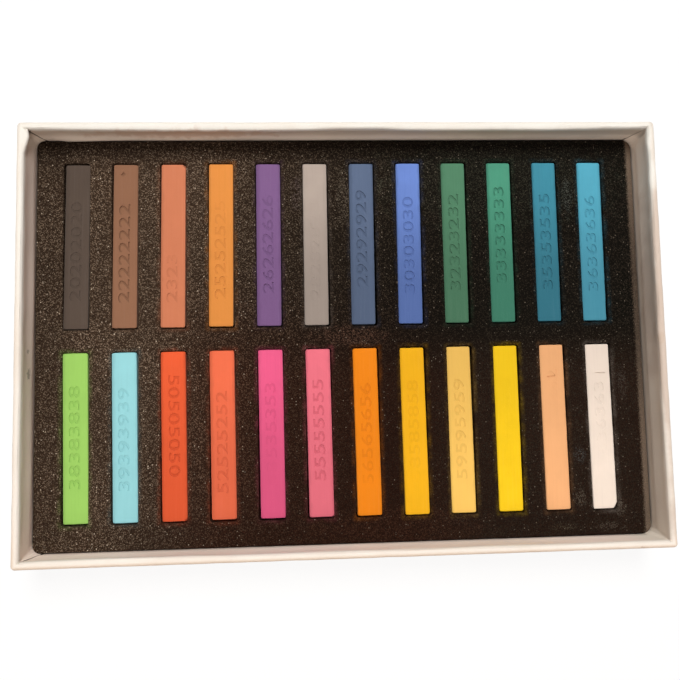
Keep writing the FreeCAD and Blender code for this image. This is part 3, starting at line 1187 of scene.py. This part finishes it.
# Broken corners: which end and side, then how far the break runs along, across and down.
chips = {
    "terracotta": ((1, 1, 2.2, 1.6, 2.0),),
    "brown": ((1, 1, 0.9, 0.9, 1.0),),
    "vermilion": ((-1, 1, 1.8, 1.4, 1.6),),
    "rose_pink": ((-1, -1, 1.2, 2.4, 0.8), (-1, 1, 0.8, 1.6, 1.0)),
    "golden_yellow": ((-1, 1, 0.9, 0.8, 0.8),),
    "ochre": ((1, -1, 0.8, 0.8, 0.8),),
    "lemon_yellow": ((1, 1, 0.7, 1.4, 0.8),),
    "white": ((-1, 1, 3.0, 1.8, 2.4),),
    "lime_green": ((1, -1, 0.8, 0.8, 0.8),),
}

# Short scores in the top face: how far right and to the rear of the middle, then length,
# width and tilt in degrees.
scores = {
    "peach": (-0.5, 19.9, 3.4, 0.34, 4.0),
    "white": (0.7, 21.0, 4.0, 0.3, -2.0),
    "brown": (-1.0, 28.5, 1.5, 1.2, 45.0),
}
score_depth = 0.4
number_length = 39.0
number_height = 6.0
number_reach = 0.5


def pressed_number(text, front_depth, rear_depth, along, downwards):
    """Upright block of figures that cuts its shape out of a bar's top face."""
    bpy.ops.object.text_add(location=(0, 0, 0))
    figures = bpy.context.object
    figures.data.body = text
    figures.data.size = number_height
    figures.data.space_character = 1.05
    figures.data.offset = 0.05
    figures.data.align_x = "CENTER"
    figures.data.align_y = "CENTER"
    figures.data.resolution_u = 4
    figures.data.extrude = number_reach
    bpy.ops.object.convert(target="MESH")
    switch_to("EDIT")
    bpy.ops.mesh.select_all(action="SELECT")
    bpy.ops.mesh.remove_doubles(threshold=1e-4)
    bpy.ops.mesh.normals_make_consistent(inside=False)
    switch_to("OBJECT")
    figures.scale = (number_length / figures.dimensions.x, 1, 1)
    figures.rotation_euler = (0, 0, math.radians(-90 if downwards else 90))
    bpy.ops.object.transform_apply(location=False, rotation=True, scale=True)
    figures.rotation_euler = (math.atan((front_depth - rear_depth) / number_length), 0, 0)
    figures.location = (0, along, top_z + number_reach - (front_depth + rear_depth) / 2)
    bpy.ops.object.transform_apply(location=True, rotation=True)
    return figures


def cut_score(stick, right, rear, length, width, tilt):
    """One short cut across a bar's top face."""
    bpy.ops.mesh.primitive_cube_add(
        size=1, location=(right, rear, top_z), rotation=(0, 0, math.radians(tilt))
    )
    blade = bpy.context.object
    blade.scale = (length, width, 2 * score_depth)
    bpy.ops.object.transform_apply(location=True, rotation=True, scale=True)
    carve(stick, blade)


# Each bar carries its shade's number four times. Numbers with the open, thin figures 1, 4
# and 7 are left out.
shades = [number for number in range(20, 64) if not set(str(number)) & set("147")]
facet_x = bar_side / 2 - 0.45
facet_z = top_z - 0.35
for shade, node in zip(shades, row_names[0] + row_names[1]):
    name = node.removeprefix("pastel_")
    turn, front_depth, rear_depth, along, downwards, *facets, painted_front_light = stick_ways[name]
    only(bar)
    bpy.ops.object.duplicate()
    stick = bpy.context.object
    stick.name = f"pastel_bar_{name}"
    switch_to("EDIT")
    for side, facet in zip((-1, 1), facets):
        if facet:
            pick(stick, "verts", lambda v: v.co.x * side > facet_x and v.co.z > facet_z)
            bpy.ops.transform.translate(
                value=(0, 0, -facet),
                use_proportional_edit=True,
                proportional_edit_falloff="LINEAR",
                proportional_size=1.7,
                use_proportional_connected=True,
            )
    switch_to("OBJECT")
    carve(stick, pressed_number(str(shade) * 4, front_depth, rear_depth, along, downwards))
    if name in scores:
        cut_score(stick, *scores[name])
    only(stick)
    if name in chips:
        switch_to("EDIT")
        for end, side, run, width, fall in chips[name]:
            corner = Vector((side * bar_side / 2, end * bar_length / 2, top_z))
            normal = Vector((side / width, end / run, 1 / fall)).normalized()
            inward = Vector((side * width, 0, 0))
            cut_all(stick, corner - inward, normal, use_fill=True, clear_outer=True)
        switch_to("OBJECT")
    middle_x, middle_y, _ = centres[node]
    stick.rotation_euler = (0, 0, math.radians(turn))
    stick.location = (middle_x, middle_y, 0)
    only(stick)
    bpy.ops.object.transform_apply(location=True, rotation=True)
    apply_modifier(
        stick, "DISPLACE", texture=unevenness, texture_coords="LOCAL", strength=0.12, mid_level=0.5
    )
    only(stick)
    bpy.ops.object.shade_smooth_by_angle(angle=math.radians(28))
    to_metres(stick)
    pigment = dict(pigments[0] + pigments[1])[name]
    recess_shade = max(front_depth, rear_depth) * 1.2
    coat(stick, chalk(name, pigment, middle_y, painted_front_light, recess_shade))
    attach(stick, f"{name}_stick")
    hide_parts(node)
bpy.data.objects.remove(bar)
